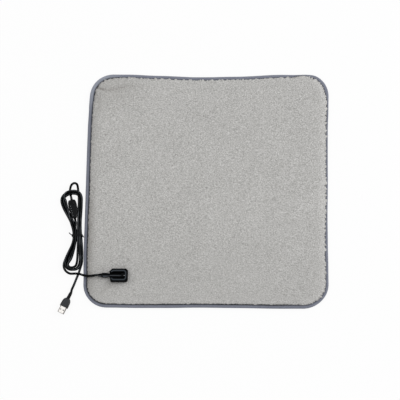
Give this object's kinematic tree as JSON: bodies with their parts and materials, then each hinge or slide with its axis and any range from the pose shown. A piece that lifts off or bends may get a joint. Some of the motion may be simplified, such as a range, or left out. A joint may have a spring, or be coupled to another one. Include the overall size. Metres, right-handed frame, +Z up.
{
  "type": "heating pad",
  "caption": "Square plush heating pad with a bound edge and a low voltage socket, with its detachable cord tied in a hank beside it, an inline controller and a USB plug.",
  "frame": {"origin": "under the middle of the pad, on the surface that it lies on", "axes": "+X from the cord's side of the pad to the far side, +Y from the socket's end to the other end, +Z up out of the plush"},
  "size_m": [0.4953, 0.463, 0.0202],
  "materials": {
    "plush": "light warm grey pile, matte",
    "tape": "slate blue woven tape, matte",
    "base_cloth": "dark plain cloth, matte",
    "felt": "undyed felt and wadding",
    "wire": "silicone jacket, satin",
    "cutout_case": "plain metal case",
    "black_plastic": "black, satin",
    "moulded_black": "black soft moulding, satin",
    "gloss_black": "black, half gloss",
    "cord": "black jacket, satin",
    "tie": "black, matte",
    "board": "green board",
    "lens": "clear grey, unlit",
    "screw_steel": "zinc plated",
    "contact_metal": "nickel plated, bright",
    "shell_metal": "nickel plated sheet, satin"
  },
  "bodies": {
    "pad": {"base_cloth": "base_cloth", "insulation_felt": "felt", "element_carrier": "felt", "heating_wire": "wire", "thermal_cutout": "cutout_case", "lead_wire_supply": "wire", "lead_wire_return": "wire", "cutout_wire": "wire", "wadding": "felt", "plush_top": "plush", "edge_binding": "tape", "socket_housing": "black_plastic", "socket_backplate": "black_plastic", "backplate_screw_1": "screw_steel", "backplate_screw_2": "screw_steel", "backplate_screw_3": "screw_steel", "backplate_screw_4": "screw_steel", "jack_collar": "gloss_black", "jack_pin": "contact_metal"},
    "cord_set": {"plug_body": "moulded_black", "plug_barrel": "contact_metal", "cord_lead": "cord", "hank_pad_side": "cord", "hank_plug_side": "cord", "cord_tail": "cord", "controller_base": "black_plastic", "controller_cover": "black_plastic", "control_board": "board", "light_strip": "lens", "relief_pad_side": "moulded_black", "relief_plug_side": "moulded_black", "twist_tie": "tie", "usb_overmold": "moulded_black", "usb_shell": "shell_metal", "usb_tongue": "black_plastic"},
    "button": {"control_button": "moulded_black"}
  },
  "joints": [
    {"name": "plug_pull", "type": "slide", "parent": "pad", "child": "cord_set", "axis": [-1, 0, 0], "range_m": [0, 0.018]},
    {"name": "button_press", "type": "slide", "parent": "cord_set", "child": "button", "axis": [0, 0, -1], "range_m": [0, 0.0005], "stiffness_N_per_m": 400}
  ]
}
